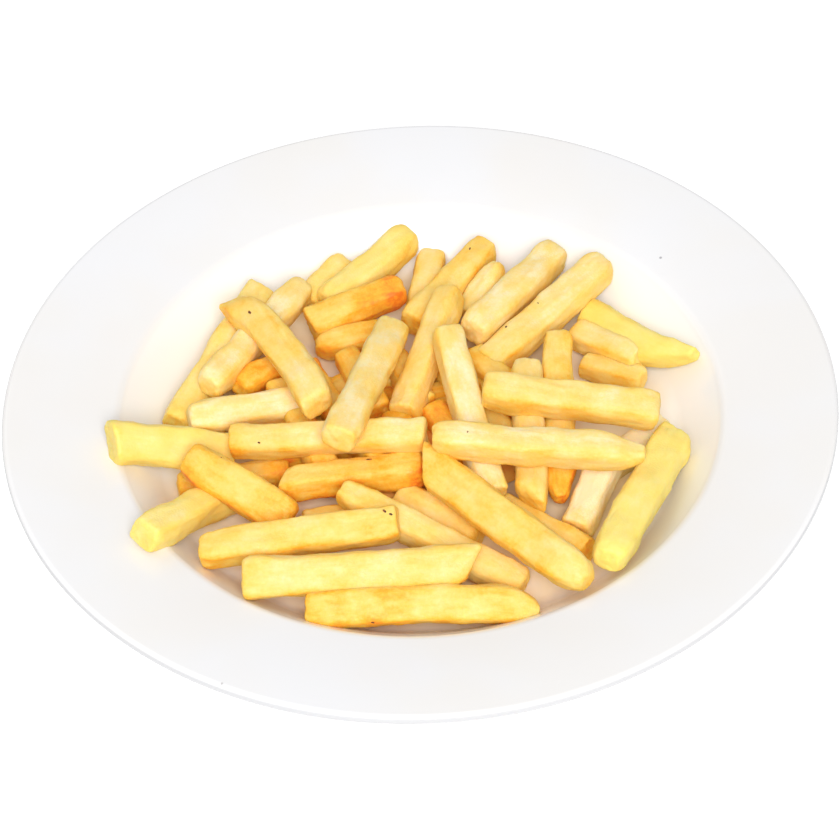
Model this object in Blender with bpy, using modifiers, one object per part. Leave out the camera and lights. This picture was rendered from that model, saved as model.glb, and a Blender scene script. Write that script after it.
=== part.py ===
"""A portion of french fries heaped on a wide-rimmed white plate.

The plate is turned about the Z axis and stands on its foot ring at Z = 0.
The heap is one solid: straight-cut fries lying across one another over a low
mound, joined together and trimmed to sit just clear of the plate.

Frame: +Z up, origin on the plate's axis at table level, the heap's front
towards -Y.  Everything is in metres; the layout is given in millimetres.
"""

import math
from collections import namedtuple

import bmesh
import bpy
from mathutils import Matrix, Vector

MM = 0.001

# Plate, millimetres.  Heights are above the table.
PLATE_RADIUS = 150.0
RIM_HEIGHT = 36.0
LIP_THICKNESS = 4.0
LIP_ROUNDING = 1.8
WELL_RADIUS = 109.5
WELL_EDGE_HEIGHT = 28.3
WELL_EDGE_ROUNDING = 6.0
FLOOR_RADIUS = 92.0
FLOOR_HEIGHT = 10.0
FLOOR_DISH = 0.5
FLOOR_ROUNDING = 14.0
FLOOR_THICKNESS = 6.0
WALL_THICKNESS = 4.6
UNDERSIDE_OFFSET = 2.0
UNDER_EDGE_ROUNDING = 9.0
UNDER_FLOOR_RISE = 1.0
FOOT_OUTER_RADIUS = 76.0
FOOT_INNER_RADIUS = 68.0
FOOT_ROUNDING = 1.2
FOOT_OUTER_FLARE = 1.0
FOOT_OUTER_STEP = 0.5
FOOT_INNER_TAPER = 1.5
PLATE_STEPS = 64
MERGE_DISTANCE = 0.01

# Heap, millimetres.
CLEARANCE = 0.35
FRY_EDGE_CUT = 1.8
SHARP_ANGLE = 1.0
FLAT_ANGLE = 0.02
BOW_CUTS = 3

# The filling that joins the fries, as (centre, size) of rounded lumps: a wide
# dome under the whole heap, and a lump that joins the foremost fries to it.
DOME = ((-2.0, 2.0, 10.0), (164.0, 132.0, 44.0))
FRONT_LUMP = ((-8.0, -76.0, 18.0), (60.0, 36.0, 22.0))

PLATE_WHITE = (0.90, 0.90, 0.89)
FRY_YELLOW = (0.86, 0.62, 0.22)

# A fry: the centres of its two end faces, its width across and its height
# through, its turn about its own length (degrees), how far its middle bows
# sideways and upwards, and how far each end face is slanted (degrees).
Fry = namedtuple("Fry", "name start end width height roll bow slant")
STRAIGHT = (0.0, 0.0)
SQUARE = (0.0, 0.0)

FRIES = [
    # Lowest layer, on the floor and the wall of the well.
    Fry("back_left_long", (-58, 72, 21), (-89, 5, 17.5), 12.5, 11.5, -17, STRAIGHT, SQUARE),
    Fry("back_short", (-26, 91, 15), (-42, 70, 15), 11.5, 11.5, -21, STRAIGHT, SQUARE),
    Fry("back_thick", (0, 96, 24), (-33, 65, 18), 12.5, 12.5, -3, STRAIGHT, SQUARE),
    Fry("back_middle_low", (8, 93, 17), (2, 64, 15), 11.5, 10.5, -6, STRAIGHT, SQUARE),
    Fry("right_bowed", (66, 55, 16), (100, 17, 26), 13.5, 13.5, 29, (-2, 0), SQUARE),
    Fry("right_stub", (88, -3, 15), (63, -27, 15), 11.5, 11.5, -17, STRAIGHT, SQUARE),
    Fry("front_right_outer", (91, -15, 20), (61, -82, 31), 14, 12.5, -8, STRAIGHT, (14, 0)),
    Fry("front_right_inner", (70, -19, 24), (53, -53, 15), 11.5, 11.5, 5, STRAIGHT, SQUARE),
    Fry("front_low", (27, -40, 15), (56, -65, 15), 11.5, 11.5, 22, STRAIGHT, SQUARE),
    Fry("left_low", (-88, -23, 15), (-48, -17, 15), 10, 9, 0, STRAIGHT, SQUARE),
    Fry("left_front_tip", (-97, -65, 36), (-67, -27, 16), 12, 12, 11, STRAIGHT, SQUARE),
    Fry("left_far_tip", (-110, -18, 35), (-69, -10, 18), 15, 13.5, 41, STRAIGHT, (-16, 0)),
    Fry("deep_left", (-37, 24, 15), (-9, 14, 15), 10, 9, 0, STRAIGHT, SQUARE),
    Fry("deep_middle", (-8, 1, 15), (22, 14, 17), 10, 10, 0, STRAIGHT, SQUARE),
    # Middle layer.
    Fry("front_between", (-8, -33, 15), (19, -53, 15), 11.5, 11.5, 23, STRAIGHT, SQUARE),
    Fry("front_shaded", (-43, -44, 15), (-26, -41, 15), 9, 9, 0, STRAIGHT, SQUARE),
    Fry("left_level", (-84, 0, 26), (-34, 11, 22), 12, 12, 31, STRAIGHT, SQUARE),
    Fry("back_left_second", (-42, 71, 23), (-77, 14, 28), 11.5, 11.5, -15, STRAIGHT, SQUARE),
    Fry("back_left_third", (-44, 38, 18), (-66, 18, 24), 10.5, 10.5, -15, STRAIGHT, SQUARE),
    Fry("middle_burnt", (-50, -32, 23), (0, -28, 24), 11, 11, 0, STRAIGHT, (24, 0)),
    Fry("left_slope", (-83, -26, 33), (-47, -48, 21), 14.5, 13, 29, STRAIGHT, SQUARE),
    Fry("back_golden_tip", (29, 89, 23), (-1, 49, 21), 12, 12, -8, STRAIGHT, SQUARE),
    Fry("back_pale_tip", (33, 74, 28), (21, 56, 17), 11.5, 11.5, 16, STRAIGHT, SQUARE),
    Fry("middle_upright", (14, 56, 31), (-6, -2, 25), 11, 11, 17, STRAIGHT, SQUARE),
    Fry("middle_crossing", (11, 26, 39), (24, -43, 24), 11.5, 11.5, -4, STRAIGHT, SQUARE),
    Fry("back_right_long", (73, 72, 27), (26, 25, 21), 13, 13, -8, STRAIGHT, SQUARE),
    Fry("back_right_inner", (55, 82, 24), (21, 37, 27), 13, 13, -9, STRAIGHT, SQUARE),
    Fry("right_leg_inner", (40, 15, 31), (38, -47, 24), 11, 10, -1, STRAIGHT, (0, 38)),
    Fry("right_leg_outer", (52, 30, 31), (48, -42, 19), 11.5, 10, -1, STRAIGHT, SQUARE),
    Fry("right_small_upper", (60, 45, 16), (82, 25, 21), 10.5, 10.5, 10, STRAIGHT, SQUARE),
    Fry("right_small_lower", (61, 29, 16), (83, 18, 17), 10, 9, 0, STRAIGHT, SQUARE),
    Fry("back_browned", (-4, 65, 25), (-40, 52, 20), 12.5, 12.5, -11, (0, 1), SQUARE),
    Fry("middle_stub", (-38, 44, 17), (-13, 46, 20), 11, 11, 13, STRAIGHT, SQUARE),
    # Top layer.
    Fry("front_diagonal_low", (-29, -42, 29), (33, -78, 15), 11, 11, 8, STRAIGHT, SQUARE),
    Fry("front_first", (-42, -90, 22), (38, -93, 22), 13, 11.5, 39, (1.2, 0), SQUARE),
    Fry("front_second", (-63, -81, 29), (16, -78, 28), 14, 12.5, 40, STRAIGHT, (0, 28)),
    Fry("front_third", (-78, -64, 26), (-9, -61, 32), 12.5, 12.5, 24, STRAIGHT, SQUARE),
    Fry("front_diagonal", (2, -33, 30), (54, -91, 31), 14.5, 13, 28, STRAIGHT, (-45, 0)),
    Fry("back_left_hooked", (-66, 53, 33), (-36, -9, 39), 13, 11.5, 16, (3, 0), (32, 0)),
    Fry("middle_level", (-68, -15, 29), (2, -20, 33), 11.5, 11.5, 21, STRAIGHT, SQUARE),
    Fry("right_upper_level", (23, -6, 40), (85, -12, 31), 12.5, 12.5, 17, STRAIGHT, SQUARE),
    Fry("right_lower_level", (4, -29, 40), (78, -38, 36), 12.5, 12.5, 8, STRAIGHT, SQUARE),
    Fry("middle_top", (-8, 37, 31), (-29, -32, 45), 13, 11.5, -14, STRAIGHT, SQUARE),
]


def clear_scene():
    """Remove every object, so that the part starts from an empty scene."""
    for old in list(bpy.data.objects):
        bpy.data.objects.remove(old, do_unlink=True)


def new_collection(name):
    """Return a new collection linked to the scene."""
    collection = bpy.data.collections.new(name)
    bpy.context.scene.collection.children.link(collection)
    return collection


def new_object(name, mesh, collection):
    """Return a new object that shows the mesh, linked to the collection."""
    item = bpy.data.objects.new(name, mesh)
    collection.objects.link(item)
    return item


def new_material(name, colour, roughness):
    """Return a plain Principled material."""
    material = bpy.data.materials.new(name)
    material.use_nodes = True
    shader = material.node_tree.nodes["Principled BSDF"]
    shader.inputs["Base Color"].default_value = (*colour, 1.0)
    shader.inputs["Roughness"].default_value = roughness
    shader.inputs["Metallic"].default_value = 0.0
    return material


def rounded_corner(before, corner, after, radius, count):
    """Return the points of an arc that rounds the corner of two lines."""
    corner = Vector(corner)
    to_before = (Vector(before) - corner).normalized()
    to_after = (Vector(after) - corner).normalized()
    half_angle = to_before.angle(to_after) / 2
    reach = radius / math.tan(half_angle)
    centre = corner + (to_before + to_after).normalized() * radius / math.sin(half_angle)
    first = (corner + to_before * reach - centre).normalized()
    last = (corner + to_after * reach - centre).normalized()
    shares = [step / (count - 1) for step in range(count)]
    return [centre + first.slerp(last, share) * radius for share in shares]


def rounded_profile(corners):
    """Return a profile through the corners, each rounded by its own radius.

    Each corner is (radius from the axis, height, rounding, points in the arc).
    """
    points = []
    for index, (out, up, rounding, count) in enumerate(corners):
        if rounding == 0:
            points.append(Vector((out, up)))
            continue
        before = corners[index - 1][:2]
        after = corners[index + 1][:2]
        points += rounded_corner(before, (out, up), after, rounding, count)
    return points


def plate_upper_corners():
    """Return the corners of the plate's upper side, from the axis outwards."""
    return [
        (0.0, FLOOR_HEIGHT - FLOOR_DISH, 0, 1),
        (FLOOR_RADIUS, FLOOR_HEIGHT, FLOOR_ROUNDING, 5),
        (WELL_RADIUS, WELL_EDGE_HEIGHT, WELL_EDGE_ROUNDING, 4),
        (PLATE_RADIUS, RIM_HEIGHT, LIP_ROUNDING, 3),
    ]


def plate_lower_corners():
    """Return the corners of the plate's underside, from the rim to the axis."""
    under_floor = FLOOR_HEIGHT - FLOOR_THICKNESS
    under_edge = WELL_EDGE_HEIGHT - WALL_THICKNESS
    return [
        (PLATE_RADIUS, RIM_HEIGHT - LIP_THICKNESS, LIP_ROUNDING, 3),
        (WELL_RADIUS + UNDERSIDE_OFFSET, under_edge, UNDER_EDGE_ROUNDING, 3),
        (FLOOR_RADIUS + UNDERSIDE_OFFSET, under_floor + UNDER_FLOOR_RISE, FLOOR_ROUNDING, 3),
        (FOOT_OUTER_RADIUS + FOOT_OUTER_FLARE, under_floor + FOOT_OUTER_STEP, FOOT_ROUNDING, 2),
        (FOOT_OUTER_RADIUS, 0.0, FOOT_ROUNDING, 2),
        (FOOT_INNER_RADIUS, 0.0, FOOT_ROUNDING, 2),
        (FOOT_INNER_RADIUS - FOOT_INNER_TAPER, under_floor, FOOT_ROUNDING, 2),
        (0.0, under_floor, 0, 1),
    ]


def turned_object(name, profile, collection):
    """Return an object turned about the Z axis from a profile in millimetres."""
    mesh = bpy.data.meshes.new(name)
    vertices = [(point[0] * MM, 0.0, point[1] * MM) for point in profile]
    edges = [(index, index + 1) for index in range(len(vertices) - 1)]
    mesh.from_pydata(vertices, edges, [])
    item = new_object(name, mesh, collection)
    screw = item.modifiers.new("turn", "SCREW")
    screw.axis = "Z"
    screw.steps = PLATE_STEPS
    screw.render_steps = PLATE_STEPS
    screw.use_merge_vertices = True
    screw.merge_threshold = MERGE_DISTANCE * MM
    screw.use_smooth_shade = True
    return item


def make_plate(collection):
    """Make the plate: well, wide rising rim, rounded lip and foot ring."""
    profile = rounded_profile(plate_upper_corners() + plate_lower_corners())
    plate = turned_object("plate", profile, collection)
    plate.data.materials.append(new_material("glazed_white", PLATE_WHITE, 0.15))
    return plate


def make_plate_clearance(collection):
    """Make the cutter that trims the heap to stand clear of the plate."""
    upper = rounded_profile(plate_upper_corners()[:3] + [(PLATE_RADIUS, RIM_HEIGHT, 0, 1)])
    lifted = [Vector((point[0], point[1] + CLEARANCE)) for point in upper]
    closing = [Vector((PLATE_RADIUS, -CLEARANCE)), Vector((0.0, -CLEARANCE))]
    return turned_object("plate_clearance", lifted + closing, collection)


def fry_matrix(fry):
    """Return the fry's place: its length along X, its height near +Z."""
    start = Vector(fry.start)
    end = Vector(fry.end)
    along = (end - start).normalized()
    across = Vector((0.0, 0.0, 1.0)).cross(along).normalized()
    upward = along.cross(across)
    turn = Matrix((along, across, upward)).transposed().to_4x4()
    roll = Matrix.Rotation(math.radians(fry.roll), 4, "X")
    return Matrix.Translation((start + end) / 2) @ turn @ roll


def bend_and_slant(vertices, fry, length):
    """Bow the fry's middle and slant its end faces."""
    for vertex in vertices:
        place = 2 * vertex.co.x / length
        slant = fry.slant[1] if place > 0 else fry.slant[0]
        vertex.co.x += abs(place) * vertex.co.y * math.tan(math.radians(slant))
        vertex.co.y += fry.bow[0] * (1 - place * place)
        vertex.co.z += fry.bow[1] * (1 - place * place)


def make_fry(fry, collection):
    """Make one fry as a box with cut edges, bowed and laid in its place."""
    length = (Vector(fry.end) - Vector(fry.start)).length
    shape = bmesh.new()
    bmesh.ops.create_cube(shape, size=1.0)
    bmesh.ops.scale(shape, vec=(length, fry.width, fry.height), verts=shape.verts)
    if fry.bow != STRAIGHT:
        long_edges = [edge for edge in shape.edges if edge.calc_length() > 0.9 * length]
        bmesh.ops.subdivide_edges(shape, edges=long_edges, cuts=BOW_CUTS, use_grid_fill=True)
    sharp = [edge for edge in shape.edges if edge.calc_face_angle() > SHARP_ANGLE]
    bmesh.ops.bevel(shape, geom=sharp, offset=FRY_EDGE_CUT, segments=1, affect="EDGES")
    bend_and_slant(shape.verts, fry, length)
    bmesh.ops.transform(shape, matrix=Matrix.Scale(MM, 4) @ fry_matrix(fry), verts=shape.verts)
    mesh = bpy.data.meshes.new(fry.name)
    shape.to_mesh(mesh)
    shape.free()
    return new_object(fry.name, mesh, collection)


def make_lump(name, centre, size, collection):
    """Make a rounded lump of filling, its underside flattened at the floor."""
    shape = bmesh.new()
    bmesh.ops.create_icosphere(shape, subdivisions=3, radius=0.5)
    bmesh.ops.scale(shape, vec=size, verts=shape.verts)
    bmesh.ops.translate(shape, vec=centre, verts=shape.verts)
    for vertex in shape.verts:
        vertex.co.z = max(vertex.co.z, FLOOR_HEIGHT - FLOOR_DISH)
    bmesh.ops.dissolve_limit(shape, angle_limit=FLAT_ANGLE, verts=shape.verts, edges=shape.edges)
    bmesh.ops.scale(shape, vec=(MM, MM, MM), verts=shape.verts)
    mesh = bpy.data.meshes.new(name)
    shape.to_mesh(mesh)
    shape.free()
    return new_object(name, mesh, collection)


def join_and_trim(heap, pieces, cutter):
    """Join the pieces to the heap and trim it with the cutter."""
    union = heap.modifiers.new("join", "BOOLEAN")
    union.operation = "UNION"
    union.solver = "EXACT"
    union.operand_type = "COLLECTION"
    union.collection = pieces
    trim = heap.modifiers.new("trim", "BOOLEAN")
    trim.operation = "DIFFERENCE"
    trim.solver = "EXACT"
    trim.object = cutter


def islands(shape):
    """Return the shape's separate groups of joined faces."""
    left = set(shape.faces)
    groups = []
    while left:
        group = [left.pop()]
        for face in group:
            neighbours = {other for edge in face.edges for other in edge.link_faces}
            fresh = neighbours & left
            left -= fresh
            group += fresh
        groups.append(group)
    return groups


def keep_outer_skin(heap):
    """Apply the joins and drop the closed pockets left between the fries."""
    evaluated = heap.evaluated_get(bpy.context.evaluated_depsgraph_get())
    mesh = bpy.data.meshes.new_from_object(evaluated)
    shape = bmesh.new()
    shape.from_mesh(mesh)
    groups = sorted(islands(shape), key=len)
    pockets = [face for group in groups[:-1] for face in group]
    bmesh.ops.delete(shape, geom=pockets, context="FACES")
    shape.to_mesh(mesh)
    shape.free()
    heap.modifiers.clear()
    heap.data = mesh


def make_heap(collection, cutters):
    """Make the heap of fries as one solid on the plate."""
    pieces = bpy.data.collections.new("separate_fries")
    cutters.children.link(pieces)
    for fry in FRIES:
        make_fry(fry, pieces)
    make_lump("front_lump", *FRONT_LUMP, pieces)
    heap = make_lump("fries_heap", *DOME, collection)
    join_and_trim(heap, pieces, make_plate_clearance(cutters))
    keep_outer_skin(heap)
    heap.data.materials.clear()
    heap.data.materials.append(new_material("fried_potato", FRY_YELLOW, 0.6))
    return heap


def hide_guides(cutters):
    """Leave the cutters and the separate fries out of the finished part."""
    for item in cutters.all_objects:
        item.hide_render = True
        item.display_type = "WIRE"


def main():
    """Build the plate and the heap of fries."""
    clear_scene()
    part = new_collection("french_fries_portion")
    cutters = new_collection("cutters")
    make_plate(part)
    make_heap(part, cutters)
    hide_guides(cutters)


main()
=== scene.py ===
"""A portion of french fries heaped in a wide-rimmed white plate: its looks.

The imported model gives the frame: a turned plate and one solid for the heap.
Here the plate is turned again with smooth curves and a glossy glaze, and the
heap gives way to separate fries that lie across one another over a small core.
Lengths are in millimetres and turned to metres where a mesh is made, apart
from the studio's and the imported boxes, which are in metres.
"""

import logging
import math
import random
from dataclasses import dataclass, field
from enum import Enum

import bpy
from mathutils import Matrix, Vector


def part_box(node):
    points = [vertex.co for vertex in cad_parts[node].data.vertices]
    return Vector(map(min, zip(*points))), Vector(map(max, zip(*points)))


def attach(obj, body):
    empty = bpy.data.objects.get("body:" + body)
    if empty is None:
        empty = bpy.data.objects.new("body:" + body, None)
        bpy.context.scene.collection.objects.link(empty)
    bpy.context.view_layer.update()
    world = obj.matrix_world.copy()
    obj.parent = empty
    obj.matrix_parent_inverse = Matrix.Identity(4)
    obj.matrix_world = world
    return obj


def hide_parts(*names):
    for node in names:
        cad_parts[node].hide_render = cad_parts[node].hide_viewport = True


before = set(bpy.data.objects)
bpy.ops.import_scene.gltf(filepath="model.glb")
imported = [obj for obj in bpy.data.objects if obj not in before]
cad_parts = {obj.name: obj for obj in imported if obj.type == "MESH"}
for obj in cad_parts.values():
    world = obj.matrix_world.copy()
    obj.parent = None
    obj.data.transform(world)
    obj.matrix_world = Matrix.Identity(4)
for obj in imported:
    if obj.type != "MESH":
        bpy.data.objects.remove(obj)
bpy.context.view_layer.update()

LOG = logging.getLogger("fries")
BODY = "root"
PLATE_NODE = "plate"
HEAP_NODE = "fries_heap"

MM = 0.001
# Attributes of the fries' points: how far each is fried, with painted shade
# added on the faces that look aside and down, how yellow it is and whether
# it lies on a corner; and its place along the fry's own grain.
SKIN = "skin"
GRAIN = "grain"

Point = tuple[float, float, float]
Colour = tuple[float, float, float]
Span = tuple[float, float]
Piece = bpy.types.Object
Material = bpy.types.Material
Socket = bpy.types.NodeSocket

# The span that most of a noise's values lie in.
NOISE: Span = (0.3, 0.7)


def srgb(red: int, green: int, blue: int) -> Colour:
    """Return a display colour as the linear values that shaders use.

    Args:
        red: Red, 0 to 255.
        green: Green, 0 to 255.
        blue: Blue, 0 to 255.

    Returns:
        The three linear values, 0 to 1.
    """
    shares = (red / 255, green / 255, blue / 255)
    return tuple(s / 12.92 if s <= 0.04045 else ((s + 0.055) / 1.055) ** 2.4 for s in shares)


def deselect_all() -> None:
    """Leave nothing selected, so that an operator works on one piece only."""
    if bpy.context.object and bpy.context.object.mode != "OBJECT":
        bpy.ops.object.mode_set(mode="OBJECT")
    bpy.ops.object.select_all(action="DESELECT")


def make_active(piece: Piece) -> None:
    """Select one piece alone and make it the active one."""
    deselect_all()
    piece.select_set(True)
    bpy.context.view_layer.objects.active = piece


def apply_place() -> None:
    """Put the active object's place, turn and scale into its mesh."""
    bpy.ops.object.transform_apply(location=True, rotation=True, scale=True)


def apply_modifiers(piece: Piece) -> None:
    """Apply every modifier on a piece, in order."""
    make_active(piece)
    for name in [modifier.name for modifier in piece.modifiers]:
        bpy.ops.object.modifier_apply(modifier=name)


def add_subdivision(piece: Piece, levels: int) -> None:
    """Give a piece a subdivision surface with the same levels everywhere."""
    surface = piece.modifiers.new("surface", "SUBSURF")
    surface.levels = levels
    surface.render_levels = levels


def add_relief(piece: Piece, name: str, size: float, depth: float, mid_level: float = 0.5,
               guide: Piece | None = None) -> None:
    """Give a piece a modifier that raises and sinks its skin in soft lumps.

    Args:
        piece: The piece to roughen.
        name: The name of the relief and of its noise.
        size: The lumps' size, millimetres.
        depth: From the deepest hollow to the highest lump, millimetres.
        mid_level: The noise's value where the skin stays in place.
        guide: The empty whose space the noise lies in, or None for the piece's own.
    """
    lumps = bpy.data.textures.get(name)
    if lumps is None:
        lumps = bpy.data.textures.new(name, "CLOUDS")
        lumps.noise_scale = size * MM
        lumps.noise_depth = 1
    relief = piece.modifiers.new(name, "DISPLACE")
    relief.texture = lumps
    relief.strength = depth * MM
    relief.mid_level = mid_level
    relief.texture_coords = "OBJECT" if guide else "LOCAL"
    relief.texture_coords_object = guide


def join_pieces(pieces: list[Piece], name: str) -> Piece:
    """Join several objects into one named object.

    Args:
        pieces: The objects to join, each finished and in place.
        name: The joined object's name.

    Returns:
        The joined object.
    """
    deselect_all()
    for piece in pieces:
        piece.select_set(True)
    bpy.context.view_layer.objects.active = pieces[0]
    bpy.ops.object.join()
    joined = bpy.context.object
    joined.name = name
    joined.data.name = name
    return joined


def stand_in(piece: Piece, material: Material, node: str) -> None:
    """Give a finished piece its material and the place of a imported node.

    Args:
        piece: The piece, its mesh in place.
        material: What it is made of.
        node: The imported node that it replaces.
    """
    piece.data.materials.append(material)
    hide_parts(node)
    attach(piece, BODY)


class NodeSheet:
    """A material's nodes, laid out by short calls."""

    def __init__(self, name: str) -> None:
        """Start a material with its Principled shader."""
        self.material = bpy.data.materials.new(name)
        self.material.use_nodes = True
        self.tree = self.material.node_tree
        self.shader = self.tree.nodes["Principled BSDF"]

    def node(self, kind: str, **settings: object) -> bpy.types.Node:
        """Add a node and set its properties and its inputs.

        Args:
            kind: The node's type name.
            **settings: Inputs as in_Name or in_number, properties by their own name.

        Returns:
            The new node.
        """
        made = self.tree.nodes.new(kind)
        for key, value in settings.items():
            if not key.startswith("in_"):
                setattr(made, key, value)
        for key, value in settings.items():
            if key.startswith("in_"):
                name = key.removeprefix("in_").replace("_", " ")
                self.feed(made.inputs[int(name) if name.isdigit() else name], value)
        return made

    def feed(self, socket: Socket, value: object) -> None:
        """Link a socket to another node's output, or set its value.

        Args:
            socket: The input to fill.
            value: An output to link, a number, a vector or a colour.
        """
        if isinstance(value, Socket):
            self.tree.links.new(value, socket)
        elif isinstance(value, tuple) and len(value) == 3 and socket.type == "RGBA":
            socket.default_value = (*value, 1.0)
        else:
            socket.default_value = value

    def finish(self, **settings: object) -> Material:
        """Fill the shader's own inputs.

        Args:
            **settings: What goes to each input, by its name with _ for each space.

        Returns:
            The finished material.
        """
        for key, value in settings.items():
            self.feed(self.shader.inputs[key.replace("_", " ")], value)
        return self.material

    def place(self) -> Socket:
        """Return the object's own coordinates, in metres."""
        return self.node("ShaderNodeTexCoord").outputs["Object"]

    def attribute(self, name: str) -> Socket:
        """Return a named attribute of the mesh, as a vector."""
        return self.node("ShaderNodeAttribute", attribute_name=name).outputs["Vector"]

    def noise(self, where: Socket, size: float, detail: float = 2.0, rough: float = 0.5) -> Socket:
        """Return noise whose lumps are a size in millimetres.

        Args:
            where: The coordinates that the noise is read at.
            size: The lumps' size, millimetres.
            detail: How many finer octaves it has.
            rough: How strong the finer octaves are.

        Returns:
            The noise's value, about 0.25 to 0.75.
        """
        made = self.node("ShaderNodeTexNoise", in_Vector=where, in_Scale=1 / (size * MM),
                         in_Detail=detail, in_Roughness=rough)
        return made.outputs["Fac"]

    def spread(self, value: Socket, band: Span, to: Span = (0.0, 1.0)) -> Socket:
        """Return a value spread smoothly from one span to another.

        Args:
            value: The value to spread.
            band: The ends of its own span.
            to: What it is at those ends afterwards.

        Returns:
            The spread value.
        """
        made = self.node("ShaderNodeMapRange", interpolation_type="SMOOTHSTEP", in_Value=value,
                         in_From_Min=band[0], in_From_Max=band[1],
                         in_To_Min=to[0], in_To_Max=to[1])
        return made.outputs["Result"]

    def math(self, operation: str, first: Socket, second: Socket | float) -> Socket:
        """Return two values joined by an operation, ADD or MULTIPLY."""
        return self.node("ShaderNodeMath", operation=operation, in_0=first, in_1=second).outputs[0]

    def mix(self, share: Socket, first: Socket | Colour, second: Socket | Colour) -> Socket:
        """Return the first colour with a share of the second, 0 to 1, mixed into it."""
        made = self.node("ShaderNodeMix", data_type="RGBA", in_0=share, in_6=first, in_7=second)
        return made.outputs[2]

    def ramp(self, value: Socket, stops: tuple[tuple[float, Colour], ...]) -> Socket:
        """Return a colour ramp read at a value.

        Args:
            value: Where the ramp is read.
            stops: Pairs of position and colour, in order.

        Returns:
            The ramp's colour.
        """
        made = self.node("ShaderNodeValToRGB", in_Fac=value)
        points = made.color_ramp.elements
        while len(points) < len(stops):
            points.new(1.0)
        for point, (position, colour) in zip(points, stops):
            point.position = position
            point.color = (*colour, 1.0)
        return made.outputs["Color"]

    def distance_from_axis(self, where: Socket) -> Socket:
        """Return how far each point lies from the object's upright axis, metres."""
        flat = self.node("ShaderNodeVectorMath", operation="MULTIPLY", in_0=where,
                         in_1=(1.0, 1.0, 0.0)).outputs["Vector"]
        return self.node("ShaderNodeVectorMath", operation="LENGTH", in_0=flat).outputs["Value"]

    def distance_from_point(self, where: Socket, point: Point) -> Socket:
        """Return how far away a point in millimetres lies, metres."""
        away = self.node("ShaderNodeVectorMath", operation="DISTANCE", in_0=where,
                         in_1=Vector(point) * MM)
        return away.outputs["Value"]

    def within(self, distance: Socket, radius: float, fade: float) -> Socket:
        """Return 1 within a radius and 0 outside it, fading over its last millimetres."""
        return self.spread(distance, ((radius - fade) * MM, radius * MM), (1.0, 0.0))

    def bump(self, height: Socket, depth: float, strength: float = 1.0,
             under: Socket | None = None) -> Socket:
        """Return a normal bumped by a height.

        Args:
            height: The height, 0 to 1.
            depth: What a height of 1 stands for, millimetres.
            strength: How much of the bump shows, 0 to 1.
            under: A normal that it adds to, or None for the surface's own.

        Returns:
            The bumped normal.
        """
        made = self.node("ShaderNodeBump", in_Height=height, in_Strength=strength,
                         in_Distance=depth * MM)
        if under is not None:
            self.feed(made.inputs["Normal"], under)
        return made.outputs["Normal"]


@dataclass(frozen=True)
class Mark:
    """A small spot in a glaze: its place and width in millimetres, and its colour."""

    place: Point
    size: float
    colour: Colour


@dataclass(frozen=True)
class WhiteGlaze:
    """Smooth glossy white glaze: a whiter well as painted light, an oily layer in
    the well that also paints the warm light bounced from the fries, a grey band on
    the outer lip as painted shade, a grey speck on the rim and a nick on the lip.

    Radii, their soft edges (fade) and the sizes of patches are in millimetres.
    The shares are how much of the oil and its painted bounce light, and of the
    painted lip shade, shows at most.
    """

    name: str = "white_glaze"
    white: Colour = srgb(237, 237, 239)
    warm_white: Colour = srgb(237, 235, 233)
    cloud_size: float = 60.0
    # Painted light: the glaze in the well is whiter than the rim's, to brighten the shaded well.
    well_painted_light: Colour = srgb(248, 248, 247)
    well_radius: float = 110.0
    well_fade: float = 3.0
    # The oil colour is partly an oily layer and partly painted warm light bounced from the fries onto
    # the well.
    oil: Colour = srgb(254, 230, 180)
    oil_and_bounce_radius: float = 97.0
    oil_and_bounce_fade: float = 14.0
    oil_and_bounce_share: float = 0.85
    oil_and_bounce_patches: float = 22.0
    # Painted shade: a grey band on the lip's outer face, which turns away from the light.
    lip_shade: Colour = srgb(196, 196, 198)
    lip_radius: float = 149.6
    lip_fade: float = 0.3
    lip_shade_share: float = 0.9
    marks: tuple[Mark, ...] = (
        Mark((94.0, 70.7, 29.5), 1.3, srgb(176, 174, 178)),
        Mark((-68.8, -131.3, 34.5), 1.6, srgb(120, 110, 104)),
    )
    roughness: Span = (0.12, 0.21)
    smear_size: float = 18.0
    peel_size: float = 7.0
    peel_depth: float = 0.02

    def material(self) -> Material:
        """Lay out the glaze.

        Returns:
            The glaze as a material.
        """
        sheet = NodeSheet(self.name)
        where = sheet.place()
        out = sheet.distance_from_axis(where)
        cloudy = sheet.spread(sheet.noise(where, self.cloud_size), (0.35, 0.65))
        colour = sheet.mix(cloudy, self.white, self.warm_white)
        # Painted light: a whiter glaze inside the well.
        well_light_share = sheet.within(out, self.well_radius, self.well_fade)
        colour = sheet.mix(well_light_share, colour, self.well_painted_light)
        # Oily layer near the middle of the well, which also paints the warm light that the fries bounce
        # onto it.
        patches = sheet.spread(sheet.noise(where, self.oil_and_bounce_patches), (0.3, 0.6),
                               (self.oil_and_bounce_share / 2, self.oil_and_bounce_share))
        oil_and_bounce_film = sheet.math("MULTIPLY", sheet.within(out, self.oil_and_bounce_radius, self.oil_and_bounce_fade), patches)
        colour = sheet.mix(oil_and_bounce_film, colour, self.oil)
        # Painted shade: grey on the lip's outer face.
        lip_shade_span = ((self.lip_radius - self.lip_fade) * MM, (self.lip_radius + self.lip_fade) * MM)
        colour = sheet.mix(sheet.spread(out, lip_shade_span, (0.0, self.lip_shade_share)), colour, self.lip_shade)
        for mark in self.marks:
            away = sheet.distance_from_point(where, mark.place)
            spot = sheet.within(away, mark.size * 0.6, mark.size * 0.3)
            colour = sheet.mix(spot, colour, mark.colour)
        smear = sheet.noise(where, self.smear_size, detail=3.0)
        peel = sheet.noise(where, self.peel_size, detail=1.0)
        return sheet.finish(Base_Color=colour, Roughness=sheet.spread(smear, NOISE, self.roughness),
                            Normal=sheet.bump(peel, self.peel_depth, 0.5), IOR=1.5)


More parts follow.
